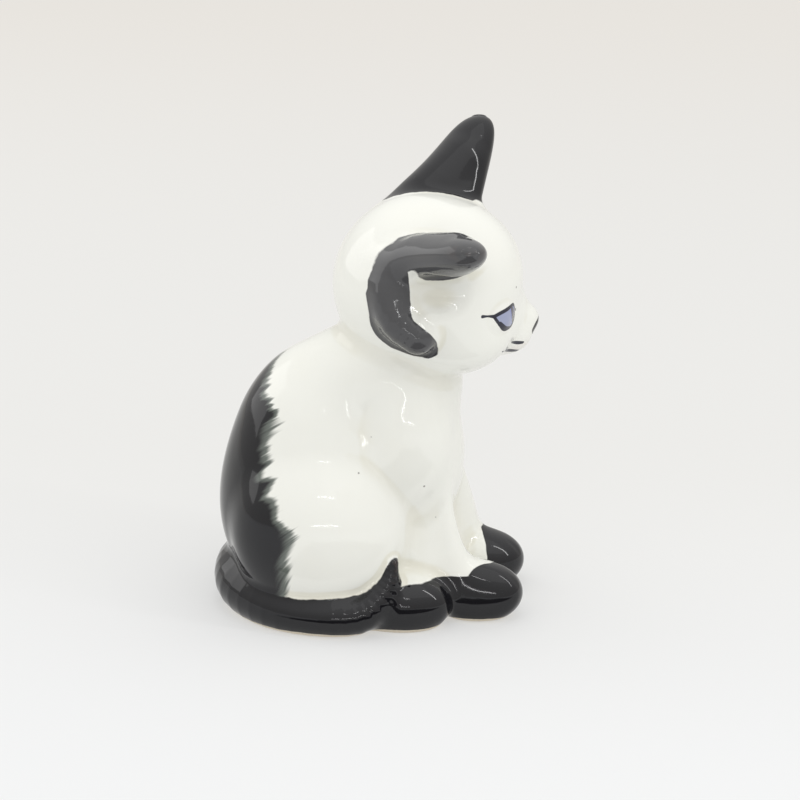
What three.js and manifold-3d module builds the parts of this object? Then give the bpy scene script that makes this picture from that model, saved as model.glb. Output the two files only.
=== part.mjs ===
// A sitting ceramic cat with its head on one side: slip-cast pieces luted together, then glazed and painted.
// Millimetres, +Z up. The cat faces -Y and its right side is -X. The origin is on the surface that it
// sits on, on its middle plane. The whole form is one smooth blend of simple masses, and each casting is
// the share of that form which lies nearer to its own mass than to any other.
import * as THREE from 'three';
import { mergeVertices } from 'three/addons/utils/BufferGeometryUtils.js';
import Module from 'manifold-3d';

const wasm = await Module();
wasm.setup();

// ---- Driving dimensions
const WALL = 3; // thickness of the hollow castings
const LUTED_GAP = 0.6; // kept between two castings
const SEAT_DEPTH = 1.5; // how far a luted piece is let into the casting that carries it
const FOOT_ROUND = 0.8; // rounding of the edge round the flat foot
const FOOT_GRIND = 0.15; // ground off the foot, to make it truly flat
const SLIVER = 0.02; // edges shorter than this are closed up
const VENT = { radius: 3, back: 9 }; // the hole in the foot that lets the kiln gases out
const HEAD = { centre: [1, -11.4, 60.2], tilt: 18 }; // the tilt is towards the cat's right shoulder
const EAR_SPLAY = 45; // from the crown out to each side
const EAR = { root: 14, tip: 32.8 }; // heights along the ear, from the middle of the head
const PAW_SPREAD = 8.2; // from the middle plane to the middle of a front paw
const HAUNCH_SPREAD = 11.5;
const STRIDE = 2.2; // how far the right foreleg stands behind the left one

const GLAZE_COLOURS = { white: '#f1f1ea', black: '#45474a' };

// ---- Shapes: a shape is a function of x, y, z that gives the distance to its surface, below zero inside
const cosine = (degrees) => Math.cos(THREE.MathUtils.degToRad(degrees));
const sine = (degrees) => Math.sin(THREE.MathUtils.degToRad(degrees));

// lean tips the top of the ellipsoid towards the front, in degrees
function ellipsoid([cx, cy, cz], [rx, ry, rz], lean = 0) {
  const cos = cosine(lean);
  const sin = sine(lean);
  return (x, y, z) => {
    const dx = x - cx;
    const dy = (y - cy) * cos + (z - cz) * sin;
    const dz = (z - cz) * cos - (y - cy) * sin;
    const near = Math.sqrt((dx / rx) ** 2 + (dy / ry) ** 2 + (dz / rz) ** 2);
    const far = Math.sqrt((dx / rx ** 2) ** 2 + (dy / ry ** 2) ** 2 + (dz / rz ** 2) ** 2);
    return (near * (near - 1)) / Math.max(far, 1e-9);
  };
}

// a round bar from one [x, y, z, radius] to the next
function taper([ax, ay, az, startRadius], [bx, by, bz, endRadius]) {
  const [ux, uy, uz] = [bx - ax, by - ay, bz - az];
  const square = ux * ux + uy * uy + uz * uz;
  return (x, y, z) => {
    const [dx, dy, dz] = [x - ax, y - ay, z - az];
    const t = Math.min(Math.max((dx * ux + dy * uy + dz * uz) / square, 0), 1);
    const away = Math.sqrt((dx - t * ux) ** 2 + (dy - t * uy) ** 2 + (dz - t * uz) ** 2);
    return away - startRadius - (endRadius - startRadius) * t;
  };
}

// a round bar that bends through stations of [x, y, z, radius]
function limb(stations, stepsEach = 4) {
  const line = new THREE.CatmullRomCurve3(stations.map(([x, y, z]) => new THREE.Vector3(x, y, z)));
  line.curveType = 'catmullrom';
  const girth = new THREE.SplineCurve(stations.map((station, i) => new THREE.Vector2(i, station[3])));
  const steps = (stations.length - 1) * stepsEach;
  const knots = Array.from({ length: steps + 1 }, (_, i) => {
    return [...line.getPoint(i / steps), girth.getPoint(i / steps).y];
  });
  const links = knots.slice(1).map((knot, i) => taper(knots[i], knot));
  return (x, y, z) => links.reduce((least, link) => Math.min(least, link(x, y, z)), Infinity);
}

// the lesser of two distances, rounded off over a band of width k where they are nearly equal
const softLeast = (a, b, k) => Math.min(a, b) - Math.max(k - Math.abs(a - b), 0) ** 2 / (4 * k);

const joined = (k, ...shapes) => (x, y, z) => {
  return shapes.slice(1).reduce((d, shape) => softLeast(d, shape(x, y, z), k), shapes[0](x, y, z));
};
const carved = (k, shape, tool) => (x, y, z) => -softLeast(-shape(x, y, z), tool(x, y, z), k);
const nearest = (...shapes) => (x, y, z) => Math.min(...shapes.map((shape) => shape(x, y, z)));
const common = (...shapes) => (x, y, z) => Math.max(...shapes.map((shape) => shape(x, y, z)));
const shrunk = (shape, depth) => (x, y, z) => shape(x, y, z) + depth;
const bothSides = (shape) => (x, y, z) => shape(Math.abs(x), y, z);
const rightSide = (shape) => (x, y, z) => shape(-x, y, z);

// a shape given in a frame, such as the head's, as a shape in the frame round it
function placed(matrix, shape) {
  const inverse = matrix.clone().invert();
  const spot = new THREE.Vector3();
  return (x, y, z) => {
    spot.set(x, y, z).applyMatrix4(inverse);
    return shape(spot.x, spot.y, spot.z);
  };
}

// ---- The masses of the head, in the head's own frame: its middle is the origin, and it faces -Y
function skullShape() {
  const round = ellipsoid([0, 0.9, 1.2], [17.4, 17, 16]);
  const forehead = ellipsoid([0, -5, 3.6], [11, 10.4, 9.8]);
  const cheek = bothSides(ellipsoid([7.5, -5.5, -4.2], [8.5, 8.8, 6.2]));
  const muzzle = ellipsoid([0, -10.8, -6.4], [6.8, 7.2, 6]);
  const lip = bothSides(ellipsoid([2.6, -14.6, -8], [3.6, 3.6, 3]));
  const nose = ellipsoid([0, -16.9, -6.2], [2.6, 2.7, 2.1]);
  const chin = ellipsoid([0, -13.8, -10.8], [3.2, 3.2, 2.2]);
  const eye = bothSides(ellipsoid([8.8, -11.1, 0.4], [4.2, 3.8, 3.3]));
  const head = joined(5, joined(4, round, forehead), cheek);
  const face = joined(2, joined(4, head, muzzle), lip, nose, chin);
  return joined(1, face, eye);
}

// in the ear's own frame: +Z runs out along the ear, +X away from the crown, and the ear opens to -Y and +X
function earShape() {
  const blade = (x, y, z) => {
    const climb = Math.min(Math.max((z - EAR.root) / (EAR.tip - EAR.root), 0), 0.985);
    const waist = climb * (1 - climb);
    const offsets = [x + 2 - 3 * climb, y - 0.6 + 8.6 * climb + 2 * waist];
    offsets.push(Math.max(z - EAR.tip + 0.3, 0), Math.max(EAR.root - z, 0));
    const halfThickness = 3.7 * Math.sqrt(1 - climb ** 4);
    const halfWidth = 9 * Math.sqrt(1 - climb ** 2) - 7.5 * waist;
    const radii = [halfThickness, halfWidth, 0.5, 3];
    const near = Math.hypot(...offsets.map((offset, i) => offset / radii[i]));
    const far = Math.hypot(...offsets.map((offset, i) => offset / radii[i] ** 2));
    return (near * (near - 1)) / Math.max(far, 0.2);
  };
  const rolledRim = limb([
    [-1, -5, 24, 2.9],
    [-1.6, 1, 17.8, 3.6],
    [0.6, 4.6, 14.8, 3.8],
    [4.4, 5.8, 14, 3.8],
    [8.8, 4.6, 13.8, 3.6],
    [11.6, 1.4, 13.4, 3.2],
  ], 3);
  return joined(2.5, blade, rolledRim);
}
const earHollowShape = () => ellipsoid([6, -4, 19.4], [4.6, 7, 4.9]);

// ---- The masses of the body, each limb on the left side
function torsoShape() {
  const rump = ellipsoid([0, 9.5, 17], [18, 18.2, 19]);
  const back = ellipsoid([0, 8.8, 29], [15.5, 17, 22], 14);
  const chest = ellipsoid([0, -7, 29], [12.5, 10.8, 17]);
  const neck = ellipsoid([0, -4.6, 45.5], [13, 12.6, 8.6], 14);
  const shoulder = bothSides(ellipsoid([9, -8.5, 34], [5.5, 6.5, 10]));
  const belly = ellipsoid([0, -8, 8], [12, 9.6, 12]);
  const foot = ellipsoid([0, 5, 3], [18.5, 20, 7]);
  const haunch = bothSides(ellipsoid([HAUNCH_SPREAD, 8, 16], [10, 15.6, 15.8]));
  const trunk = joined(4, joined(6, rump, back, chest, neck), shoulder, belly, foot);
  return joined(3, trunk, haunch);
}

// each front leg is flattened along its outer side
function forelegShape(setBack) {
  const standing = limb([
    [9, -9.5, 31, 6],
    [9.5, -12.5, 20, 6],
    [PAW_SPREAD + 0.4, -15.5, 9, 5.6],
    [PAW_SPREAD, -18, 5.5, 5.4],
  ], 3);
  const leg = (x, y, z) => standing(x, y - setBack * THREE.MathUtils.smoothstep(z, 5, 17), z);
  const paw = ellipsoid([PAW_SPREAD, -21.4, 4.6], [6.1, 7.8, 5.7]);
  return carved(2.5, joined(3, leg, paw), (x, y, z) => 14.1 - x - 0.22 * z);
}

const hindPawShape = () => ellipsoid([HAUNCH_SPREAD + 2.5, -6.6, 4], [5.4, 9.4, 6]);

// from the middle of the back round the cat's right side, with the tip turned up against the haunch
const tailShape = () => limb([
  [6, 22.5, 6, 4],
  [0, 24, 5.6, 5.2],
  [-8, 22.5, 4.6, 5.2],
  [-15, 16, 3.6, 4.6],
  [-18, 7, 3.2, 4.2],
  [-18.6, -0.5, 4.2, 3.4],
  [-17.4, -4.6, 8.6, 2],
  [-16.6, -5.8, 13, 0.8],
]);

// ---- The whole form, in the cat's frame
const headGroup = new THREE.Group();
headGroup.position.set(...HEAD.centre);
headGroup.rotation.y = THREE.MathUtils.degToRad(-HEAD.tilt);
headGroup.updateMatrix();
const earFrame = new THREE.Matrix4().makeRotationY(THREE.MathUtils.degToRad(EAR_SPLAY));

const skull = placed(headGroup.matrix, skullShape());
const leftEarInHead = placed(earFrame, earShape());
const earHollows = placed(headGroup.matrix, bothSides(placed(earFrame, earHollowShape())));
const masses = {
  body: torsoShape(),
  head: skull,
  left_ear: placed(headGroup.matrix, leftEarInHead),
  right_ear: placed(headGroup.matrix, rightSide(leftEarInHead)),
  left_foreleg: forelegShape(0),
  right_foreleg: rightSide(forelegShape(STRIDE)),
  left_hind_paw: hindPawShape(),
  right_hind_paw: rightSide(hindPawShape()),
  tail: tailShape(),
};
const belowFoot = (x, y, z) => z + FOOT_GRIND;

function wholeForm() {
  const ears = nearest(masses.left_ear, masses.right_ear);
  const head = carved(1.5, joined(2, masses.head, ears), earHollows);
  const legs = nearest(masses.left_foreleg, masses.right_foreleg);
  const hindPaws = nearest(masses.left_hind_paw, masses.right_hind_paw);
  const bodyAndHead = joined(3, masses.body, legs, head);
  const withPaws = joined(2.5, bodyAndHead, hindPaws);
  return carved(FOOT_ROUND, joined(1.8, withPaws, masses.tail), belowFoot);
}
const form = wholeForm();

// ---- Surface nets: one vertex in each cell that the surface crosses, and one quad round each crossed edge
const CUBE_CORNERS = [0, 1, 2, 3, 4, 5, 6, 7].map((n) => [n & 1, (n >> 1) & 1, (n >> 2) & 1]);

// moves a point along the slope of the shape until it lies on the surface, and then outwards by the lift
function settled(shape, point, reach, lift) {
  const h = 0.05;
  const spot = [...point];
  for (let round = 0; round <= 3; round += 1) {
    const distance = shape(...spot);
    if (Math.abs(distance) > reach) return spot;
    const slope = [0, 1, 2].map((axis) => {
      const ahead = spot.map((value, i) => value + (i === axis ? h : 0));
      const behind = spot.map((value, i) => value - (i === axis ? h : 0));
      return (shape(...ahead) - shape(...behind)) / (2 * h);
    });
    const steepness = Math.max(Math.hypot(...slope), 0.5);
    const move = round < 3 ? -distance / steepness : lift;
    slope.forEach((component, axis) => {
      spot[axis] += (move * component) / steepness;
    });
  }
  return spot;
}

// the shape inside a box as a solid, closed off where the box cuts it, with its surface moved out by the lift
function meshed(shape, box, cell, lift = 0) {
  const low = box.min.toArray();
  const counts = box.getSize(new THREE.Vector3()).toArray().map((side) => Math.ceil(side / cell) + 1);
  const numberOf = (i, j, k) => (i * counts[1] + j) * counts[2] + k;
  const samples = new Float64Array(counts[0] * counts[1] * counts[2]);
  const eachCell = (fewer, visit) => {
    for (let i = 0; i < counts[0] - fewer; i += 1) {
      for (let j = 0; j < counts[1] - fewer; j += 1) {
        for (let k = 0; k < counts[2] - fewer; k += 1) visit(i, j, k);
      }
    }
  };
  eachCell(0, (...place) => {
    const distance = shape(...place.map((n, axis) => low[axis] + n * cell));
    const onBorder = place.some((n, axis) => n === 0 || n === counts[axis] - 1);
    samples[numberOf(...place)] = onBorder ? Math.max(distance, cell / 10) : distance;
  });

  const vertices = [];
  const vertexOf = new Map();
  eachCell(1, (...place) => {
    const at = (corner) => samples[numberOf(...place.map((n, axis) => n + corner[axis]))];
    const crossings = [];
    CUBE_CORNERS.forEach((corner, n) => {
      [0, 1, 2].filter((axis) => !corner[axis]).forEach((axis) => {
        const start = at(corner);
        const end = at(CUBE_CORNERS[n | (1 << axis)]);
        if (start < 0 === end < 0) return;
        crossings.push(corner.map((value, i) => (i === axis ? start / (start - end) : value)));
      });
    });
    if (crossings.length === 0) return;
    const middle = [0, 1, 2].map((axis) => {
      const mean = crossings.reduce((sum, crossing) => sum + crossing[axis], 0) / crossings.length;
      return low[axis] + (place[axis] + mean) * cell;
    });
    vertexOf.set(numberOf(...place), vertices.length);
    vertices.push(settled(shape, middle, cell / 2, lift));
  });

  const triangles = [];
  const apart = (a, b) => Math.hypot(...vertices[a].map((value, axis) => value - vertices[b][axis]));
  eachCell(1, (...place) => {
    [0, 1, 2].forEach((axis) => {
      const [next, last] = [(axis + 1) % 3, (axis + 2) % 3];
      if (place[next] === 0 || place[last] === 0) return;
      const ahead = place.map((n, i) => n + (i === axis ? 1 : 0));
      const startsInside = samples[numberOf(...place)] < 0;
      if (startsInside === samples[numberOf(...ahead)] < 0) return;
      const quad = [[-1, -1], [0, -1], [0, 0], [-1, 0]].map(([alongNext, alongLast]) => {
        const cellPlace = [...place];
        cellPlace[next] += alongNext;
        cellPlace[last] += alongLast;
        return vertexOf.get(numberOf(...cellPlace));
      });
      if (!startsInside) quad.reverse();
      const [a, b, c, d] = quad;
      if (apart(a, c) < apart(b, d)) triangles.push(a, b, c, a, c, d);
      else triangles.push(b, c, d, b, d, a);
    });
  });
  return solid(vertices.flat(), triangles);
}

// ---- Solids and geometries
function solid(positions, triangles) {
  const mesh = new wasm.Mesh({
    numProp: 3,
    vertProperties: Float32Array.from(positions),
    triVerts: Uint32Array.from(triangles),
  });
  return new wasm.Manifold(mesh);
}

function solidOf(geometry) {
  return solid(geometry.getAttribute('position').array, geometry.getIndex().array);
}

function geometryOf(manifold) {
  const { vertProperties, triVerts } = manifold.getMesh();
  const geometry = new THREE.BufferGeometry();
  geometry.setAttribute('position', new THREE.BufferAttribute(vertProperties, 3));
  geometry.setIndex(new THREE.BufferAttribute(triVerts, 1));
  return geometry;
}

// the box of everything within a margin of the shape, found on a coarse grid
function boxRound(shape, margin) {
  const step = 2;
  const box = new THREE.Box3();
  for (let x = -34; x <= 34; x += step) {
    for (let y = -34; y <= 34; y += step) {
      for (let z = -2; z <= 94; z += step) {
        if (shape(x, y, z) < margin) box.expandByPoint(new THREE.Vector3(x, y, z));
      }
    }
  }
  return box;
}

// ---- The castings
const CELLS = { ear: 1.6, foreleg: 2.1, paw: 1.8, tail: 1.9, head: 2.3, body: 3, hollow: 3.2 }; // mesh spacing
const CARRIED_BY = {
  left_ear: 'head',
  right_ear: 'head',
  left_foreleg: 'body',
  right_foreleg: 'body',
  left_hind_paw: 'body',
  right_hind_paw: 'body',
  tail: 'body',
};
const carriedBy = (carrier) => Object.keys(CARRIED_BY).filter((name) => CARRIED_BY[name] === carrier);

// where a piece is nearer than its rivals, and no deeper in its carrier than the seat
function shareOf(name, rivals) {
  const carrier = masses[CARRIED_BY[name]];
  const nearer = (x, y, z) => masses[name](x, y, z) - rivals(x, y, z);
  const tooDeep = (x, y, z) => -carrier(x, y, z) - SEAT_DEPTH;
  return common(nearer, tooDeep);
}

function headShare() {
  const above = nearest(masses.head, ...carriedBy('head').map((name) => masses[name]));
  const below = nearest(masses.body, ...carriedBy('body').map((name) => masses[name]));
  return (x, y, z) => above(x, y, z) - below(x, y, z);
}

function hollow() {
  const inside = shrunk(joined(3, masses.body, masses.head), WALL);
  const aboveFloor = (x, y, z) => WALL - z;
  return meshed(common(inside, aboveFloor), boxRound(inside, 2), CELLS.hollow);
}

function plainSolid(geometry) {
  geometry.deleteAttribute('normal');
  geometry.deleteAttribute('uv');
  return solidOf(mergeVertices(geometry));
}

function vent() {
  const bore = new THREE.CylinderGeometry(VENT.radius, VENT.radius, 3 * WALL, 24);
  return plainSolid(bore.rotateX(Math.PI / 2).translate(0, VENT.back, WALL / 2));
}

// everything below the surface that the cat sits on
function ground() {
  return plainSolid(new THREE.BoxGeometry(100, 100, 10).translate(0, 0, -5));
}

// a luted piece, cut from the form, and the larger room that is cut for it from its carrier
function luted(name) {
  const cell = CELLS[name.split('_').pop()];
  const others = Object.keys(masses).filter((other) => other !== name);
  const rivals = nearest(...others.map((other) => masses[other]));
  const box = boxRound(masses[name], 3);
  const shareBox = box.clone().expandByScalar(2 * cell);
  const own = meshed(shareOf(name, rivals), shareBox, cell * 1.25, -LUTED_GAP / 2);
  const room = meshed(shareOf(name, masses[CARRIED_BY[name]]), shareBox, cell * 1.25, LUTED_GAP / 2);
  return { solid: meshed(form, box, cell).intersect(own), room };
}

// a cut solid without the slivers that the cuts leave along its seams
function tidied(manifold) {
  const bodies = manifold.setTolerance(SLIVER).decompose();
  return bodies.reduce((best, body) => (body.volume() > best.volume() ? body : best));
}

const without = (whole, ...tools) => tools.reduce((rest, tool) => rest.subtract(tool), whole);

function allPieces() {
  const pieces = new Map(Object.keys(CARRIED_BY).map((name) => [name, luted(name)]));
  const roomsIn = (carrier) => carriedBy(carrier).map((name) => pieces.get(name).room);
  const inside = hollow();
  const bodyBox = boxRound(masses.body, 3);
  const headBox = boxRound(masses.head, 3);
  const shareBox = bodyBox.clone().union(headBox).expandByScalar(4);
  const ownHead = meshed(headShare(), shareBox, CELLS.hollow, -LUTED_GAP / 2);
  const headRoom = meshed(headShare(), shareBox, CELLS.hollow, LUTED_GAP / 2);
  const head = without(meshed(form, headBox, CELLS.head), ...roomsIn('head'), inside);
  const body = without(meshed(form, bodyBox, CELLS.body), ...roomsIn('body'), headRoom, inside, vent());
  pieces.set('head', { solid: head.intersect(ownHead) });
  pieces.set('body', { solid: body });
  const below = ground();
  return new Map([...pieces].map(([name, piece]) => [name, tidied(without(piece.solid, below))]));
}

// ---- The scene
const GLAZED = {
  body: 'white',
  head: 'white',
  left_ear: 'black',
  right_ear: 'black',
  left_foreleg: 'white',
  right_foreleg: 'white',
  left_hind_paw: 'black',
  right_hind_paw: 'black',
  tail: 'black',
};

const cat = new THREE.Group();
cat.add(headGroup);
for (const [name, casting] of allPieces()) {
  const color = GLAZE_COLOURS[GLAZED[name]];
  const glaze = new THREE.MeshStandardMaterial({ color, roughness: 0.1, metalness: 0 });
  const mesh = new THREE.Mesh(geometryOf(casting), glaze);
  mesh.geometry.computeVertexNormals();
  mesh.name = name;
  const inHead = name === 'head' || CARRIED_BY[name] === 'head';
  if (inHead) mesh.geometry.applyMatrix4(headGroup.matrix.clone().invert());
  (inHead ? headGroup : cat).add(mesh);
}

export default cat;
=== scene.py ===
# A sitting ceramic cat with its head on one side: glazed slip-cast pieces, painted white with black patches.
# The form is the one that the CAD model has: one smooth blend of simple masses, in millimetres, of which each
# casting is a share. Here it is meshed finely, the forepaws get their toe grooves, and it is painted.
import math

import bmesh
import bpy
import numpy as np
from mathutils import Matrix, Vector


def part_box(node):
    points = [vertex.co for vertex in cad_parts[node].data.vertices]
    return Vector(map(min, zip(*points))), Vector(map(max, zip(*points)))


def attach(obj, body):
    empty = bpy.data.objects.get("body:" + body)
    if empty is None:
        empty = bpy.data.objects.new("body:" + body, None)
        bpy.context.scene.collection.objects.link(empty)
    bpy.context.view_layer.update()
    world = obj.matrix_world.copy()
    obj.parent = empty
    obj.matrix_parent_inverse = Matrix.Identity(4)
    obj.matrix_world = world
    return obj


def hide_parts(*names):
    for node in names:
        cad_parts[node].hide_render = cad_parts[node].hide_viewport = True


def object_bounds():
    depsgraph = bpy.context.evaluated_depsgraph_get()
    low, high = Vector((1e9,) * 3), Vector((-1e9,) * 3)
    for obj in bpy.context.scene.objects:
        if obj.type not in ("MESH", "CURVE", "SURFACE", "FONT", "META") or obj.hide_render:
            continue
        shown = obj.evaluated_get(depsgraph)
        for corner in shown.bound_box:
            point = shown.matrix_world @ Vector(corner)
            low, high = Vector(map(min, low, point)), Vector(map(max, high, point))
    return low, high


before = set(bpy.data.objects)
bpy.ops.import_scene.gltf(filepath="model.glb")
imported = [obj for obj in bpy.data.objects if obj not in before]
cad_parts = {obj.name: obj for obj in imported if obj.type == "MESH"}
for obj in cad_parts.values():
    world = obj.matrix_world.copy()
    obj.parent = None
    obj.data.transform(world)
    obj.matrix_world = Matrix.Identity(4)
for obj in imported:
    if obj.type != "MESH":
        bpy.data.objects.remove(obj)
cad_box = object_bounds()

# ---- Dimensions, in millimetres as in the CAD model
MM = 0.001
WALL = 3.0  # thickness of the hollow castings
SEAT_DEPTH = 1.5  # how far a luted piece is let into the casting that carries it
FOOT_ROUND = 0.8
FOOT_GRIND = 0.15
VENT_RADIUS, VENT_BACK = 3.0, 9.0
HEAD_CENTRE, HEAD_TILT = (1.0, -11.4, 60.2), 18.0
EAR_SPLAY = 45.0
EAR_ROOT, EAR_TIP = 14.0, 32.8
PAW_SPREAD = 8.2
HAUNCH_SPREAD = 11.5
STRIDE = 2.2  # how far the right foreleg stands behind the left one
JOINT_OVERLAP = 1.2  # each piece runs on under its neighbour
JOINT_SINK = 0.15  # and dips this far under the neighbour's surface, so that the glaze bridges the joint
BARE_STRIP = 0.9  # height that is wiped clean of glaze round the foot


# ---- Shapes: a shape gives the distance to its surface at points x, y, z, below zero inside
def ellipsoid(centre, radii, lean=0.0):
    """lean tips the top towards the front, in degrees"""
    cx, cy, cz = centre
    rx, ry, rz = radii
    cos, sin = math.cos(math.radians(lean)), math.sin(math.radians(lean))

    def distance(x, y, z):
        dx = x - cx
        dy = (y - cy) * cos + (z - cz) * sin
        dz = (z - cz) * cos - (y - cy) * sin
        near = np.sqrt((dx / rx) ** 2 + (dy / ry) ** 2 + (dz / rz) ** 2)
        far = np.sqrt((dx / rx**2) ** 2 + (dy / ry**2) ** 2 + (dz / rz**2) ** 2)
        return near * (near - 1) / np.maximum(far, 1e-9)

    return distance


def smooth_curve(stations, steps_each):
    """Catmull-Rom through rows of numbers"""
    rows = np.array(stations, float)
    rows = np.vstack([2 * rows[0] - rows[1], rows, 2 * rows[-1] - rows[-2]])
    knots = []
    for before, start, end, after in zip(rows, rows[1:], rows[2:], rows[3:]):
        for t in np.arange(steps_each) / steps_each:
            bend = 2 * before - 5 * start + 4 * end - after
            twist = 3 * start - before - 3 * end + after
            knots.append(start + 0.5 * ((end - before) * t + bend * t**2 + twist * t**3))
    return np.array(knots + [rows[-2]])


def limb(stations, steps_each=4):
    """a round bar that bends through stations of (x, y, z, radius)"""
    knots = smooth_curve(stations, steps_each)

    def distance(x, y, z):
        closest = np.full(np.shape(x), np.inf)
        for (ax, ay, az, start_radius), (bx, by, bz, end_radius) in zip(knots, knots[1:]):
            ux, uy, uz = bx - ax, by - ay, bz - az
            dx, dy, dz = x - ax, y - ay, z - az
            t = np.clip((dx * ux + dy * uy + dz * uz) / (ux**2 + uy**2 + uz**2), 0, 1)
            away = np.sqrt((dx - t * ux) ** 2 + (dy - t * uy) ** 2 + (dz - t * uz) ** 2)
            closest = np.minimum(closest, away - start_radius - (end_radius - start_radius) * t)
        return closest

    return distance


def joined(k, *distances):
    """the least of the distances, rounded off over a band of width k where two are nearly equal"""
    closest = distances[0]
    for other in distances[1:]:
        rounding = np.maximum(k - np.abs(closest - other), 0) ** 2 / (4 * k)
        closest = np.minimum(closest, other) - rounding
    return closest


def carved(k, distance, tool):
    """what is left of a shape when the tool is cut out of it, the edge rounded off over a band of width k"""
    return -joined(k, -distance, tool)


def least(*distances):
    return np.minimum.reduce(distances)


def ramp(value, start, end):
    """0 at start, 1 at end, smooth in between"""
    t = np.clip((value - start) / (end - start), 0, 1)
    return t * t * (3 - 2 * t)


# ---- The masses: of a pair, the left one. In the head's frame its middle is the origin and it faces -Y.
SKULL = ellipsoid((0, 0.9, 1.2), (17.4, 17, 16))
FOREHEAD = ellipsoid((0, -5, 3.6), (11, 10.4, 9.8))
CHEEK = ellipsoid((7.5, -5.5, -4.2), (8.5, 8.8, 6.2))
MUZZLE = ellipsoid((0, -10.8, -6.4), (6.8, 7.2, 6))
LIP = ellipsoid((2.6, -14.6, -8), (3.6, 3.6, 3))
NOSE = ellipsoid((0, -16.9, -6.2), (2.6, 2.7, 2.1))
CHIN = ellipsoid((0, -13.8, -10.8), (3.2, 3.2, 2.2))
EYE = ellipsoid((8.8, -11.1, 0.4), (4.2, 3.8, 3.3))

# in the ear's frame z runs out along the ear and x away from the crown, and the ear opens to -Y and +X
EAR_RIM = limb([
    (-1, -5, 24, 2.9),
    (-1.6, 1, 17.8, 3.6),
    (0.6, 4.6, 14.8, 3.8),
    (4.4, 5.8, 14, 3.8),
    (8.8, 4.6, 13.8, 3.6),
    (11.6, 1.4, 13.4, 3.2),
], 3)
EAR_HOLLOW = ellipsoid((6, -4, 19.4), (4.6, 7, 4.9))

RUMP = ellipsoid((0, 9.5, 17), (18, 18.2, 19))
BACK = ellipsoid((0, 8.8, 29), (15.5, 17, 22), lean=14)
CHEST = ellipsoid((0, -7, 29), (12.5, 10.8, 17))
NECK = ellipsoid((0, -4.6, 45.5), (13, 12.6, 8.6), lean=14)
SHOULDER = ellipsoid((9, -8.5, 34), (5.5, 6.5, 10))
BELLY = ellipsoid((0, -8, 8), (12, 9.6, 12))
FOOT = ellipsoid((0, 5, 3), (18.5, 20, 7))
HAUNCH = ellipsoid((HAUNCH_SPREAD, 8, 16), (10, 15.6, 15.8))
FORELEG = limb([
    (9, -9.5, 31, 6),
    (9.5, -12.5, 20, 6),
    (PAW_SPREAD + 0.4, -15.5, 9, 5.6),
    (PAW_SPREAD, -18, 5.5, 5.4),
], 3)
PAW = ellipsoid((PAW_SPREAD, -21.4, 4.6), (6.1, 7.8, 5.7))
HIND_PAW = ellipsoid((HAUNCH_SPREAD + 2.5, -6.6, 4), (5.4, 9.4, 6))
TOE_GROOVES = [  # too fine for the CAD model
    limb([(PAW_SPREAD + side, -26.4, 9.6, 0.1), (PAW_SPREAD + 1.25 * side, -29.6, 6.4, 0.3)], 1)
    for side in (-1.9, 1.9)
]
TAIL = limb([
    (6, 22.5, 6, 4),
    (0, 24, 5.6, 5.2),
    (-8, 22.5, 4.6, 5.2),
    (-15, 16, 3.6, 4.6),
    (-18, 7, 3.2, 4.2),
    (-18.6, -0.5, 4.2, 3.4),
    (-17.4, -4.6, 8.6, 2),
    (-16.6, -5.8, 13, 0.8),
])


def in_head_frame(x, y, z):
    dx, dy, dz = x - HEAD_CENTRE[0], y - HEAD_CENTRE[1], z - HEAD_CENTRE[2]
    cos, sin = math.cos(math.radians(HEAD_TILT)), math.sin(math.radians(HEAD_TILT))
    return dx * cos + dz * sin, dy, dz * cos - dx * sin


def in_ear_frame(head_x, head_y, head_z):
    cos, sin = math.cos(math.radians(EAR_SPLAY)), math.sin(math.radians(EAR_SPLAY))
    out = np.abs(head_x)
    return out * cos - head_z * sin, head_y, head_z * cos + out * sin


def skull(x, y, z):
    side = np.abs(x)
    head = joined(5, joined(4, SKULL(x, y, z), FOREHEAD(x, y, z)), CHEEK(side, y, z))
    muzzled = joined(4, head, MUZZLE(x, y, z))
    face = joined(2, muzzled, LIP(side, y, z), NOSE(x, y, z), CHIN(x, y, z))
    return joined(1, face, EYE(side, y, z))


def ear_blade(x, y, z):
    climb = np.clip((z - EAR_ROOT) / (EAR_TIP - EAR_ROOT), 0, 0.985)
    waist = climb * (1 - climb)
    half_width = 9 * np.sqrt(1 - climb**2) - 7.5 * waist
    half_thickness = 3.7 * np.sqrt(1 - climb**4)
    radii = (half_thickness, half_width, 0.5, 3)
    beyond_tip, below_root = np.maximum(z - EAR_TIP + 0.3, 0), np.maximum(EAR_ROOT - z, 0)
    offsets = (x + 2 - 3 * climb, y - 0.6 + 8.6 * climb + 2 * waist, beyond_tip, below_root)
    near = np.sqrt(sum((offset / radius) ** 2 for offset, radius in zip(offsets, radii)))
    far = np.sqrt(sum((offset / radius**2) ** 2 for offset, radius in zip(offsets, radii)))
    return near * (near - 1) / np.maximum(far, 0.2)


def torso(x, y, z):
    side = np.abs(x)
    trunk = joined(6, RUMP(x, y, z), BACK(x, y, z), CHEST(x, y, z), NECK(x, y, z))
    trunk = joined(4, trunk, SHOULDER(side, y, z), BELLY(x, y, z), FOOT(x, y, z))
    return joined(3, trunk, HAUNCH(side, y, z))


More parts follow.
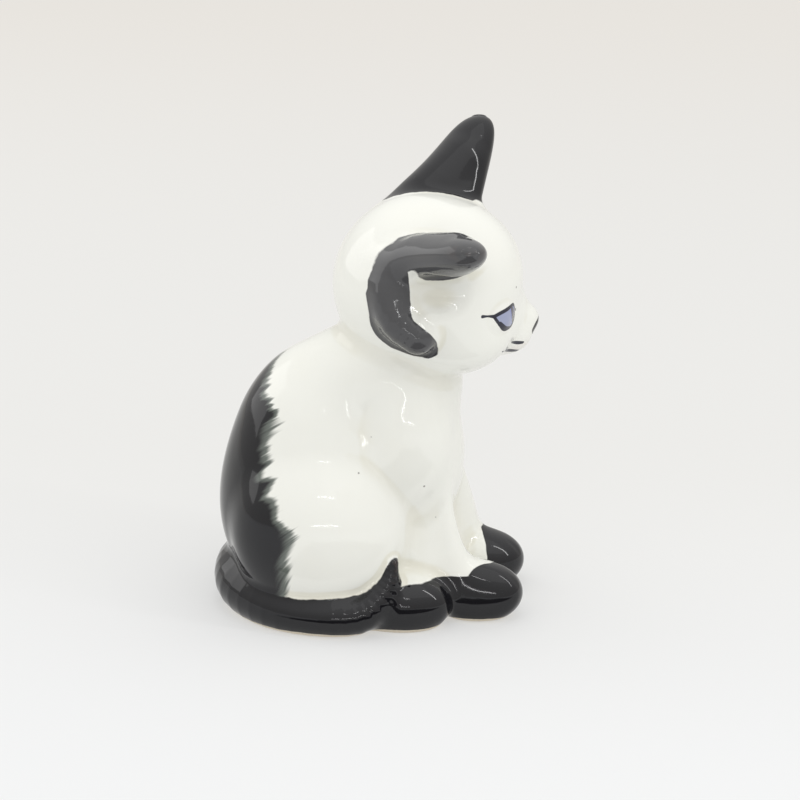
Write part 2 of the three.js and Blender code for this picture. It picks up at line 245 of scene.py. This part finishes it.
def masses(x, y, z):
    """the distance to each casting's own mass, and to the hollows and the ground, at each point"""
    side = np.abs(x)
    head_x, head_y, head_z = in_head_frame(x, y, z)
    ear_point = in_ear_frame(head_x, head_y, head_z)
    blade = ear_blade(*ear_point)
    set_back = np.where(x < 0, STRIDE * ramp(z, 5, 17), 0)
    foreleg = joined(3, FORELEG(side, y - set_back, z), PAW(side, y, z))
    return {
        "body": torso(x, y, z),
        "head": skull(head_x, head_y, head_z),
        "ear": joined(2.5, blade, EAR_RIM(*ear_point)),
        "ear_blade": blade,
        "ear_hollow": EAR_HOLLOW(*ear_point),
        "foreleg": carved(2.5, foreleg, 14.1 - side - 0.22 * z),
        "hind_paw": HIND_PAW(side, y, z),
        "toe_grooves": least(*[groove(side, y, z) for groove in TOE_GROOVES]),
        "tail": TAIL(x, y, z),
        "below_foot": z + FOOT_GRIND,
    }


def whole_form(m):
    head = carved(1.5, joined(2, m["head"], m["ear"]), m["ear_hollow"])
    upright = joined(3, m["body"], m["foreleg"], head)
    with_paws = carved(1.0, joined(2.5, upright, m["hind_paw"]), m["toe_grooves"])
    return carved(FOOT_ROUND, joined(1.8, with_paws, m["tail"]), m["below_foot"])


def glaze_surface(x, y, z):
    return whole_form(masses(x, y, z))


CARRIED_BY = {"ear": "head", "foreleg": "body", "hind_paw": "body", "tail": "body"}
MASS_NAMES = ("body", "head", "ear", "foreleg", "hind_paw", "tail")


def shares(m):
    """the distance to the part of the form that each casting holds, below zero inside it"""
    found = {}
    for name, carrier in CARRIED_BY.items():
        rivals = least(*[m[other] for other in MASS_NAMES if other != name])
        found[name] = np.maximum((m[name] - rivals) / 2, -m[carrier] - SEAT_DEPTH)
    upper = least(m["head"], m["ear"])
    lower = least(m["body"], m["foreleg"], m["hind_paw"], m["tail"])
    neck = (upper - lower) / 2
    found["head"] = np.maximum(neck, -found["ear"])
    found["body"] = np.maximum(-neck, -least(found["foreleg"], found["hind_paw"], found["tail"]))
    return found


def inside_wall(m, x, y, z):
    """the hollow that the body and the head share, and the vent hole through the foot"""
    hollow = np.maximum(joined(3, m["body"], m["head"]) + WALL, WALL - z)
    vent = np.maximum(np.hypot(x, y - VENT_BACK) - VENT_RADIUS, z - WALL - 1)
    return least(hollow, vent)


def casting(mass, side):
    """the field of one casting; side is -1 or 1 for one of a pair, or 0"""
    def field(x, y, z):
        m = masses(x, y, z)
        share = shares(m)[mass]
        if side:
            middle = in_head_frame(x, y, z)[0] if mass == "ear" else x
            share = np.maximum(share, -side * middle)
        sunk = JOINT_SINK * ramp(share, 0, 0.4)
        piece = np.maximum(np.maximum(whole_form(m) + sunk, -z), share - JOINT_OVERLAP)
        return carved(0.6, piece, inside_wall(m, x, y, z)) if mass in ("body", "head") else piece

    return field


# ---- Meshing
BLOCK = 4  # grid points along a block, which is only sampled finely if the surface may pass through it


def sampled(field, low, counts, cell):
    """the field on a grid; blocks far from the surface hold only the sign that their middle has"""
    blocks = -(-counts // BLOCK)
    corners = np.indices(blocks).reshape(3, -1).T * BLOCK
    middles = field(*(low + (corners + (BLOCK - 1) / 2) * cell).T)
    samples = middles.reshape(blocks)
    for axis in range(3):
        samples = np.repeat(samples, BLOCK, axis)
    within_block = np.indices((BLOCK,) * 3).reshape(3, -1).T
    near = corners[np.abs(middles) < 1.3 * BLOCK * cell]
    places = (near[:, None] + within_block).reshape(-1, 3)
    for batch in np.array_split(places, len(places) // 50000 + 1):
        samples[tuple(batch.T)] = field(*(low + batch * cell).T)
    return samples


def slope(field, points, h=0.05):
    """which way the field rises at each point, and how steeply"""
    steps = np.eye(3) * h
    return np.stack([(field(*(points + s).T) - field(*(points - s).T)) / (2 * h) for s in steps], -1)


def settled(field, points, cell, rounds=2):
    """moves points along the slope of the field on to its surface"""
    for _ in range(rounds):
        rise = slope(field, points)
        square = np.maximum((rise**2).sum(-1), 0.25)
        move = np.clip(-field(*points.T) / np.sqrt(square), -cell / 2, cell / 2)
        points = points + (move / np.sqrt(square))[:, None] * rise
    return points


def surface_nets(field, low, high, cell):
    """one vertex in each cell that the surface crosses, and one quad round each crossed edge"""
    low = np.array(low, float)
    counts = np.ceil((np.array(high) - low) / cell).astype(int)
    samples = sampled(field, low, counts, cell)
    inside = samples < 0
    cells = np.array(samples.shape) - 1

    def at_corner(grid, corner):
        return grid[tuple(slice(c, c + n) for c, n in zip(corner, cells))]

    cube = [(i, j, k) for i in (0, 1) for j in (0, 1) for k in (0, 1)]
    filled = sum(at_corner(inside, corner).astype(np.int8) for corner in cube)
    crossed = (filled > 0) & (filled < 8)
    total = np.zeros((crossed.sum(), 3))
    crossings = np.zeros(crossed.sum())
    for corner in cube:
        for axis in range(3):
            if corner[axis]:
                continue
            across = tuple(1 if i == axis else c for i, c in enumerate(corner))
            start, end = at_corner(samples, corner)[crossed], at_corner(samples, across)[crossed]
            cuts = (start < 0) != (end < 0)
            spot = np.tile(np.array(corner, float), (len(start), 1))
            spot[:, axis] = np.where(cuts, start / np.where(cuts, start - end, 1), 0)
            total += spot * cuts[:, None]
            crossings += cuts
    points = low + (np.argwhere(crossed) + total / crossings[:, None]) * cell
    number = np.full(crossed.shape, -1)
    number[crossed] = np.arange(len(points))

    quads = []
    for axis in range(3):
        span = [slice(1, n) for n in cells]
        span[axis] = slice(0, cells[axis])
        ahead = list(span)
        ahead[axis] = slice(1, cells[axis] + 1)
        starts_inside = inside[tuple(span)]
        edges = np.argwhere(starts_inside != inside[tuple(ahead)])
        outward = starts_inside[tuple(edges.T)]
        edges += [0 if i == axis else 1 for i in range(3)]
        around = []
        for along_next, along_last in ((-1, -1), (0, -1), (0, 0), (-1, 0)):
            place = edges.copy()
            place[:, (axis + 1) % 3] += along_next
            place[:, (axis + 2) % 3] += along_last
            around.append(number[tuple(place.T)])
        quad = np.stack(around, 1)
        quad[~outward] = quad[~outward][:, ::-1]
        quads.append(quad)
    return settled(field, points, cell), np.concatenate(quads)


# ---- The painted decoration: distances in millimetres to the edge of each painted area, below zero inside it
RIDGE_REACH = 0.8  # how far round a point the surface is felt for a ridge or a crease
STROKE_LEAN = 52.0  # the brush strokes of the saddle rise towards the chest
SADDLE_RIGHT = [(6, 64), (20, 70), (25, 57), (30, 49), (35, 45), (39, 50), (41.5, 34), (45, 22), (48.5, 0)]
SADDLE_LEFT = [(6, 60), (18, 64), (26, 50), (34, 44), (39, 41), (44, 24), (48.5, 0)]

# on the face, unrolled: the arc from the middle line, and the height, in the head's frame
FACE_RADIUS = 16.0
UPPER_LID = [(7.2, 0.6), (7.5, 1.7), (9.2, 2.2), (11.4, 2.45), (13.1, 2.3)]
LOWER_LID = [(7.2, 0.6), (7.6, -0.8), (8.6, -1.5), (9.9, -1.5), (11.4, -0.8), (12.5, 0.8), (13.1, 2.3)]
LID_LINE = 0.27


def drawn(*rows, steps_each=4):
    """a painted line through rows of (arc, height, half width)"""
    return limb([(arc, 0, height, half) for arc, height, half in rows], steps_each)


FACE_LINES = [
    drawn(*[(arc, height, LID_LINE) for arc, height in UPPER_LID]),
    drawn(*[(arc, height, LID_LINE) for arc, height in LOWER_LID]),
    drawn((9.9, -1.5, 0.3), (11.4, -0.7, 0.5), (12.4, 0.8, 0.4)),
    drawn((6.6, 0.2, 0.2), (6.6, 0, 0.2)),
    drawn((13.1, 2.3, 0.3), (14.2, 2.7, 0.18), (15.2, 3.0, 0.3)),
    drawn((5.2, -7.8, 0.26), (6.2, -7.3, 0.34), (8.2, -6, 0.16)),
    drawn((5.4, -9.7, 0.24), (7.2, -8.7, 0.34), (9.6, -7.2, 0.28), (11.6, -5.7, 0.14)),
    drawn((0, -9.4, 0.24), (0, -10.4, 0.16)),
]
PUPIL = ellipsoid((8.5, 0, 0.4), (0.8, 9, 1.6))
NOSE_PAINT = ellipsoid((0, -18.8, -7.2), (3.1, 2.2, 1.7))
# a painted pinkish shadow under the lip
LIP_SHADOW = ellipsoid((5.6, 0, -8.6), (2.6, 9, 0.7))


def between_lids(arc, height):
    upper, lower = smooth_curve(UPPER_LID, 4), smooth_curve(LOWER_LID, 4)
    above = height - np.interp(arc, *upper.T)
    below = np.interp(arc, *lower.T) - height
    outside = np.maximum(UPPER_LID[0][0] - arc, arc - UPPER_LID[-1][0])
    return np.maximum(np.maximum(above, below) * 0.85, outside)


def ear_paint(blade, x, y, z):
    """the ear is black beyond its root, but for the bowl within its rim"""
    dipped = (15.3 - 0.46 * np.maximum(x, 0) - z) * 0.92
    below_blade = 1.4 + 0.1 * y - x
    before_rim = y - 3.2 + 0.1 * x + 4 * ramp(x, 8.8, 13)
    off_blade = 0.25 - np.maximum(blade, 16 - z)
    within_rim = np.maximum(np.maximum(below_blade, before_rim), off_blade)
    return carved(3, np.maximum(dipped, -within_rim), 15.4 - 0.15 * y - x)


def paw_paint(m, x, y, z):
    side = np.abs(x)
    toes = y + np.where(x < 0, 23.2, 20.6) - 1.05 * np.maximum(side - 8, 0) - 0.3 * np.minimum(side - 8, 0)
    outer_side = np.maximum(z - 9, 10.5 - side)
    return np.maximum(least(m["foreleg"], m["hind_paw"]) - 0.8, least(outer_side, np.maximum(toes, z - 11.4)))


def saddle_paint(x, y, z):
    """also the arc from the middle of the back, which with the height says where a brush stroke lies"""
    radius = np.hypot(x, y - 4)
    angle = np.degrees(np.arctan2(-x, y - 4))
    past_right = angle - np.interp(z, *zip(*SADDLE_RIGHT))
    past_left = -angle - np.interp(z, *zip(*SADDLE_LEFT))
    edge = np.radians(np.maximum(past_right, past_left)) * radius * 0.85
    return np.maximum(edge, (z - 48.5) * 0.8), np.radians(np.abs(angle)) * radius


def paint_layers(points):
    """each layer's number at each point: mostly distances, as above, and how sharp a ridge is"""
    x, y, z = points.T
    m = masses(x, y, z)
    head_x, head_y, head_z = in_head_frame(x, y, z)
    ear_point = in_ear_frame(head_x, head_y, head_z)
    ears = ear_paint(m["ear_blade"], *ear_point)
    overspill = np.where(x < 0, 0.35 + 0.65 * ramp(ear_point[0], -3, 3), 1) + 1.2 * ramp(ear_point[0], 7, 11)
    under_tip = ramp(ear_point[1], -6.5, -8) * ramp(ear_point[0], 6, 2)
    ears = np.maximum(ears, m["ear"] - overspill * (1 - 0.7 * under_tip))
    arc = np.arctan2(np.abs(head_x), -head_y) * FACE_RADIUS
    on_face = (arc, np.zeros_like(arc), head_z)
    behind_face = np.where((head_y < -6) & (np.abs(head_z) < 14), 0, 9)
    saddle, back_arc = saddle_paint(x, y, z)
    lean = math.radians(STROKE_LEAN)
    bumps = whole_form(m) * -6
    for step in np.vstack([np.eye(3), -np.eye(3)]) * RIDGE_REACH:
        bumps += glaze_surface(*(points + step).T)
    return {
        "patch": least(ears, paw_paint(m, x, y, z), m["tail"] - 0.5, NOSE_PAINT(head_x, head_y, head_z)),
        # painted sheen: high on the right side, chiefly the right ear, the black is mixed with grey
        "ear_sheen": np.where(x < 0, 0.45 + 0.2 * ramp(ear_point[0], 1.5, -2.5), 0) * ramp(z, 50, 54),
        "saddle": saddle,
        "stroke_across": z * math.cos(lean) - back_arc * math.sin(lean),
        "stroke_along": z * math.sin(lean) + back_arc * math.cos(lean),
        "feather": 1.2 + 3.2 * ramp(z, 34, 38) * ramp(z, 46, 42) + 2 * ramp(z, 21, 25) * ramp(z, 33, 29),
        "lines": least(*[line(*on_face) for line in FACE_LINES]) + behind_face,
        "iris": between_lids(arc, head_z) + behind_face,
        "pupil": PUPIL(*on_face) + behind_face,
        "lip_shadow": LIP_SHADOW(*on_face) + behind_face,
        "ridge": bumps / RIDGE_REACH**2,
    }


# ---- Pieces
CASTINGS = [  # CAD node, mass, side, mesh spacing, material slot
    ("body", "body", 0, 0.48, "white_glaze"),
    ("head", "head", 0, 0.42, "white_glaze"),
    ("left_ear", "ear", 1, 0.38, "black_glaze"),
    ("right_ear", "ear", -1, 0.38, "black_glaze"),
    ("left_foreleg", "foreleg", 1, 0.42, "white_glaze"),
    ("right_foreleg", "foreleg", -1, 0.42, "white_glaze"),
    ("left_hind_paw", "hind_paw", 1, 0.36, "black_glaze"),
    ("right_hind_paw", "hind_paw", -1, 0.36, "black_glaze"),
    ("tail", "tail", 0, 0.34, "black_glaze"),
]
BOX_MARGIN = 3  # how far past the CAD node's box its finer mesh may reach


def refined_face(points, quads):
    """splits the mesh three ways where the eyes, the nose and the mouth are painted, for crisp lines"""
    layers = paint_layers(points)
    fine = least(layers["lines"], layers["iris"]) < 0.7
    mesh = bmesh.new()
    vertices = [mesh.verts.new(point) for point in points]
    for quad in quads:
        mesh.faces.new([vertices[i] for i in quad])
    mesh.verts.index_update()
    edges = [edge for edge in mesh.edges if all(fine[vertex.index] for vertex in edge.verts)]
    bmesh.ops.subdivide_edges(mesh, edges=edges, cuts=2, use_grid_fill=True)
    mesh.verts.index_update()
    refined = np.array([vertex.co for vertex in mesh.verts])
    faces = [[vertex.index for vertex in face.verts] for face in mesh.faces]
    mesh.free()
    return refined, faces


def glazed_casting(name, mass, side, cell, slot, glaze):
    field = casting(mass, side)
    low_corner, high_corner = (np.array(corner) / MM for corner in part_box(name))
    points, faces = surface_nets(field, low_corner - BOX_MARGIN, high_corner + BOX_MARGIN, cell)
    if name == "head":
        points, faces = refined_face(points, faces)
        points = settled(field, points, cell / 3)
    points[:, 2] = np.maximum(points[:, 2], 0)
    mesh = bpy.data.meshes.new(name)
    mesh.from_pydata(points * MM, [], faces if isinstance(faces, list) else faces.tolist())
    mesh.shade_smooth()
    for layer, values in paint_layers(points).items():
        mesh.attributes.new(layer, "FLOAT", "POINT").data.foreach_set("value", values.astype(np.float32))
    on_glaze = np.abs(glaze_surface(*points.T)) < 2 * JOINT_SINK
    outwards = np.where(on_glaze[:, None], slope(glaze_surface, points), slope(field, points))
    outwards /= np.linalg.norm(outwards, axis=1)[:, None]
    mesh.normals_split_custom_set_from_vertices(outwards)
    mesh.materials.append(glaze)
    piece = bpy.data.objects.new("glazed_" + name, mesh)
    bpy.context.scene.collection.objects.link(piece)
    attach(piece, "root")
    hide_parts(name)


# ---- Materials: colours
# the second white is pooled glaze and painted crease shade in one
WHITE, WHITE_POOLED_SHADED, SPECK = (0.85, 0.852, 0.80, 1), (0.70, 0.67, 0.54, 1), (0.30, 0.29, 0.27, 1)
BLACK, BLACK_THIN = (0.005, 0.005, 0.007, 1), (0.075, 0.045, 0.032, 1)
# the second grey is a painted sheen on the right ear's black
BLACK_BRUSHED, BLACK_SHEEN_GREY = (0.17, 0.19, 0.17, 1), (0.14, 0.14, 0.145, 1)
IRIS, IRIS_DEEP, PUPIL_COLOUR = (0.33, 0.36, 0.50, 1), (0.24, 0.27, 0.50, 1), (0.055, 0.048, 0.07, 1)
# the face lines' colour, and the pinkish colour of the painted shadow under the lip
LINE, LIP_SHADOW_PINK = (0.02, 0.021, 0.034, 1), (0.80, 0.68, 0.64, 1)
CLAY, CLAY_STAINED = (0.74, 0.69, 0.58, 1), (0.52, 0.43, 0.32, 1)
# floor tones: painted light, brighter on the camera's side and dimmer and warmer beyond
FLOOR_NEAR, FLOOR_MIDDLE = (0.422, 0.425, 0.428, 1), (0.394, 0.392, 0.384, 1)
FLOOR_FAR = (0.396, 0.383, 0.364, 1)
SKY_LEVEL, SKY_ABOVE = (0.66, 0.65, 0.63, 1), (1.15, 1.15, 1.14, 1)
DARK_CARD = (0.05, 0.045, 0.04, 1)


# ---- Materials: the functions below add nodes to a tree, and give or take their output sockets
def node(tree, kind, inputs, output=0, **settings):
    """the output of a new node, its inputs set to values or linked to other outputs"""
    made = tree.nodes.new("ShaderNode" + kind)
    for name, value in settings.items():
        setattr(made, name, value)
    for name, value in inputs.items():
        if isinstance(value, bpy.types.NodeSocket):
            tree.links.new(value, made.inputs[name])
        else:
            made.inputs[name].default_value = value
    return made.outputs[output]


def calculated(tree, operation, a, b=0.0):
    return node(tree, "Math", {0: a, 1: b}, operation=operation)


def plus(tree, a, b):
    return calculated(tree, "ADD", a, b)


def times(tree, a, b):
    return calculated(tree, "MULTIPLY", a, b)


def fade(tree, value, start, end):
    """0 at start, 1 at end, smooth in between"""
    inputs = {"Value": value, "From Min": start, "From Max": end}
    return node(tree, "MapRange", inputs, interpolation_type="SMOOTHSTEP")


def blended(tree, factor, under, over):
    """over laid on under, as thickly as the factor says"""
    return node(tree, "Mix", {0: factor, 6: under, 7: over}, output=2, data_type="RGBA")


def painted(tree, name):
    """a painted layer's number"""
    return node(tree, "Attribute", {}, output=2, attribute_name=name)


def mottle(tree, place, per_mm, detail=2.0):
    """smooth noise about zero, from -0.5 to 0.5"""
    noise = node(tree, "TexNoise", {"Vector": place, "Scale": per_mm, "Detail": detail})
    return calculated(tree, "SUBTRACT", noise, 0.5)


def along_strokes(tree, across_scale, along_scale):
    """a place for noise that runs out along the saddle's brush strokes"""
    across = times(tree, painted(tree, "stroke_across"), across_scale)
    along = times(tree, painted(tree, "stroke_along"), along_scale)
    return node(tree, "CombineXYZ", {0: across, 1: along})


def white_glaze(tree, place):
    """warmer and darker in the creases, where the glaze pools and where shade is painted, with a few specks
    of iron
    """
    crease_pool_and_shade = fade(tree, painted(tree, "ridge"), -0.02, -0.35)
    pooled_and_shaded = plus(tree, crease_pool_and_shade, times(tree, mottle(tree, place, 0.09), 0.5))
    white = blended(tree, times(tree, pooled_and_shaded, 0.5), WHITE, WHITE_POOLED_SHADED)
    specks = node(tree, "TexVoronoi", {"Vector": place, "Scale": 0.16})
    return blended(tree, fade(tree, specks, 0.045, 0.02), white, SPECK)


def black_glaze(tree, place):
    """it thins to brown on the sharpest ridges"""
    worn = plus(tree, painted(tree, "ridge"), times(tree, mottle(tree, place, 0.5), 0.2))
    return blended(tree, times(tree, fade(tree, worn, 0.55, 1.2), 0.25), BLACK, BLACK_THIN)


def with_saddle(tree, white, black):
    """its edge is feathered: each bristle reaches its own way past it, and its tail is thin"""
    bristle = mottle(tree, along_strokes(tree, 2.6, 0.05), 1.0, 3.0)
    clump = mottle(tree, along_strokes(tree, 0.42, 0.05), 1.0)
    reach = times(tree, painted(tree, "feather"), 2.6)
    swing = times(tree, plus(tree, clump, times(tree, bristle, 0.5)), reach)
    brushed_edge = plus(tree, painted(tree, "saddle"), swing)
    by_the_edge = fade(tree, calculated(tree, "ABSOLUTE", brushed_edge), 3.4, 1.6)
    roughened = times(tree, times(tree, bristle, 1.7), by_the_edge)
    streaks = plus(tree, fade(tree, brushed_edge, 1.5, -1.7), roughened)
    deep = plus(tree, streaks, fade(tree, brushed_edge, -0.8, -3.4))
    brushed = blended(tree, times(tree, fade(tree, deep, 1.7, 0.6), 0.85), black, BLACK_BRUSHED)
    return blended(tree, fade(tree, streaks, 0.24, 0.8), white, brushed)


def with_patches(tree, place, colour, black):
    """the ears, paws, tail and nose; high on the cat's right, chiefly on the right ear, the black is greyed
    as a painted sheen
    """
    edge = plus(tree, painted(tree, "patch"), times(tree, mottle(tree, place, 0.45), 0.5))
    sheened_black = blended(tree, painted(tree, "ear_sheen"), black, BLACK_SHEEN_GREY)
    return blended(tree, fade(tree, edge, 0.09, -0.09), colour, sheened_black)


def with_face(tree, colour):
    # painted shadow, pinkish, under the lip
    colour = blended(tree, times(tree, fade(tree, painted(tree, "lip_shadow"), 0.7, -0.5), 0.2), colour, LIP_SHADOW_PINK)
    iris = blended(tree, fade(tree, painted(tree, "pupil"), 0.7, 0.2), IRIS, IRIS_DEEP)
    iris = blended(tree, fade(tree, painted(tree, "pupil"), 0.08, -0.08), iris, PUPIL_COLOUR)
    colour = blended(tree, fade(tree, painted(tree, "iris"), 0.06, -0.06), colour, iris)
    return blended(tree, fade(tree, painted(tree, "lines"), 0.05, -0.05), colour, LINE)


def glaze_material(name):
    material = bpy.data.materials.new(name)
    material.use_nodes = True
    tree = material.node_tree
    in_metres = node(tree, "TexCoord", {}, output=3)
    place = node(tree, "VectorMath", {0: in_metres, 3: 1 / MM}, operation="SCALE")
    height = node(tree, "SeparateXYZ", {0: place}, output=2)
    black = black_glaze(tree, place)
    colour = with_saddle(tree, white_glaze(tree, place), black)
    colour = with_face(tree, with_patches(tree, place, colour, black))

    # bare clay round the foot, where the glaze is wiped off
    wiped_height = plus(tree, height, times(tree, mottle(tree, place, 0.3), 0.35))
    bare = fade(tree, wiped_height, BARE_STRIP + 0.08, BARE_STRIP - 0.08)
    clay = blended(tree, plus(tree, mottle(tree, place, 3.0, 5.0), 0.4), CLAY, CLAY_STAINED)
    colour = blended(tree, bare, colour, clay)

    # glaze flows level, so it is nearly flat, with a slow ripple
    ripple = times(tree, mottle(tree, place, 0.16, 1.0), 0.06)
    fine_ripple = times(tree, mottle(tree, place, 0.5, 1.0), 0.012)
    grain = times(tree, bare, times(tree, mottle(tree, place, 9.0, 4.0), 0.03))
    relief = plus(tree, plus(tree, ripple, fine_ripple), grain)
    gloss = plus(tree, times(tree, mottle(tree, place, 0.6), 0.05), 0.07)

    shader = tree.nodes["Principled BSDF"]
    shader.inputs["IOR"].default_value = 1.5
    bump = node(tree, "Bump", {"Height": relief, "Strength": 1.0, "Distance": MM})
    tree.links.new(colour, shader.inputs["Base Color"])
    tree.links.new(node(tree, "Mix", {0: bare, 2: gloss, 3: 0.85}), shader.inputs["Roughness"])
    tree.links.new(bump, shader.inputs["Normal"])
    return material


glazes = {slot: glaze_material(slot) for slot in ("white_glaze", "black_glaze")}
for name, mass, side, cell, slot in CASTINGS:
    glazed_casting(name, mass, side, cell, slot, glazes[slot])

# ---- Studio
low, high = cad_box
centre = (low + high) / 2


def direction(azimuth, elevation):
    """from the cat towards the azimuth: 0 is in front of it, 270 is on its right"""
    a, e = math.radians(azimuth), math.radians(elevation)
    return Vector((math.sin(a) * math.cos(e), -math.cos(a) * math.cos(e), math.sin(e)))


def facing(thing, target, azimuth, elevation, distance):
    """puts it that far from the target, turned towards it"""
    thing.location = target + direction(azimuth, elevation) * distance
    thing.rotation_mode = "QUATERNION"
    thing.rotation_quaternion = direction(azimuth, elevation).to_track_quat("Z", "Y")
    bpy.context.scene.collection.objects.link(thing)
    return thing


def soft_box(name, azimuth, elevation, distance, width, height, power):
    lamp = bpy.data.lights.new(name, "AREA")
    lamp.shape = "RECTANGLE"
    lamp.size, lamp.size_y = width, height
    lamp.energy = power
    facing(bpy.data.objects.new(name, lamp), centre, azimuth, elevation, distance)


def level_sheet(name, finish, middle, width, depth):
    """a flat rectangle, with a new material that is named by the finish"""
    mesh = bpy.data.meshes.new(name)
    x, y = width / 2, depth / 2
    mesh.from_pydata([(-x, -y, 0), (x, -y, 0), (x, y, 0), (-x, y, 0)], [], [(0, 1, 2, 3)])
    material = bpy.data.materials.new(finish)
    material.use_nodes = True
    mesh.materials.append(material)
    sheet = bpy.data.objects.new(name, mesh)
    sheet.location = middle
    bpy.context.scene.collection.objects.link(sheet)
    return sheet


def pale_floor():
    """it glows a little, so that the cat's shadow stays pale"""
    span = 80 * high.z
    floor = level_sheet("floor", "pale_floor", (0, 0, 0), span, span)
    tree = floor.active_material.node_tree
    shader = tree.nodes["Principled BSDF"]
    across = node(tree, "SeparateXYZ", {0: node(tree, "TexCoord", {}, output=3)}, output=0)
    # painted light falloff: the floor's colour and its glow are brighter on the camera's side, dimmer and
    # warmer beyond
    near_half = blended(tree, fade(tree, across, -0.10, 0.10), FLOOR_NEAR, FLOOR_MIDDLE)
    colour = blended(tree, fade(tree, across, 0.10, 0.90), near_half, FLOOR_FAR)
    tree.links.new(colour, shader.inputs["Base Color"])
    tree.links.new(colour, shader.inputs["Emission Color"])
    shader.inputs["Emission Strength"].default_value = 1.0
    shader.inputs["Roughness"].default_value = 0.9
    shader.inputs["Specular IOR Level"].default_value = 0.0


def dark_card():
    """lies beside the paws, seen only as a reflection in their glaze"""
    beside_paws = (low.x - 0.058, 0.6 * low.y, 0.0005)
    card = level_sheet("floor_card", "floor_card", beside_paws, 0.11, 0.09)
    shader = card.active_material.node_tree.nodes["Principled BSDF"]
    shader.inputs["Base Color"].default_value = DARK_CARD
    shader.inputs["Roughness"].default_value = 1.0
    card.visible_camera = card.visible_diffuse = card.visible_shadow = False


def pale_sky():
    world = bpy.data.worlds.new("studio")
    world.use_nodes = True
    tree = world.node_tree
    upwards = node(tree, "SeparateXYZ", {0: node(tree, "TexCoord", {}, output=0)}, output=2)
    sky = blended(tree, fade(tree, upwards, 0.0, 1.0), SKY_LEVEL, SKY_ABOVE)
    tree.links.new(sky, tree.nodes["Background"].inputs["Color"])
    return world


SOFT_BOXES = [  # name, azimuth, elevation, distance, width, height, power
    ("overhead", 308, 62, 0.9, 0.9, 0.9, 0.68),
    ("tube", 276, 30, 0.6, 0.18, 0.006, 0.08),
    ("window", 342, 38, 0.6, 0.022, 0.40, 0.35),
    ("low_tube", 272, 4, 0.6, 0.26, 0.006, 0.09),
    ("side_window", 165, 24, 0.8, 0.6, 0.5, 0.8),
]
pale_floor()
dark_card()
for box in SOFT_BOXES:
    soft_box(*box)
bpy.context.scene.world = pale_sky()
bpy.context.scene.view_settings.view_transform = "Standard"

# ---- Camera: on the cat's right and a little above, aimed in front of and below its middle
CAMERA_AZIMUTH, CAMERA_ELEVATION, CAMERA_DISTANCE = 274, 18, 0.38
lens = bpy.data.cameras.new("camera")
lens.lens = 92.7
aim = centre + Vector((3.0, -5.0, -5.5)) * MM
camera = facing(bpy.data.objects.new("camera", lens), aim, CAMERA_AZIMUTH, CAMERA_ELEVATION, CAMERA_DISTANCE)
bpy.context.scene.camera = camera
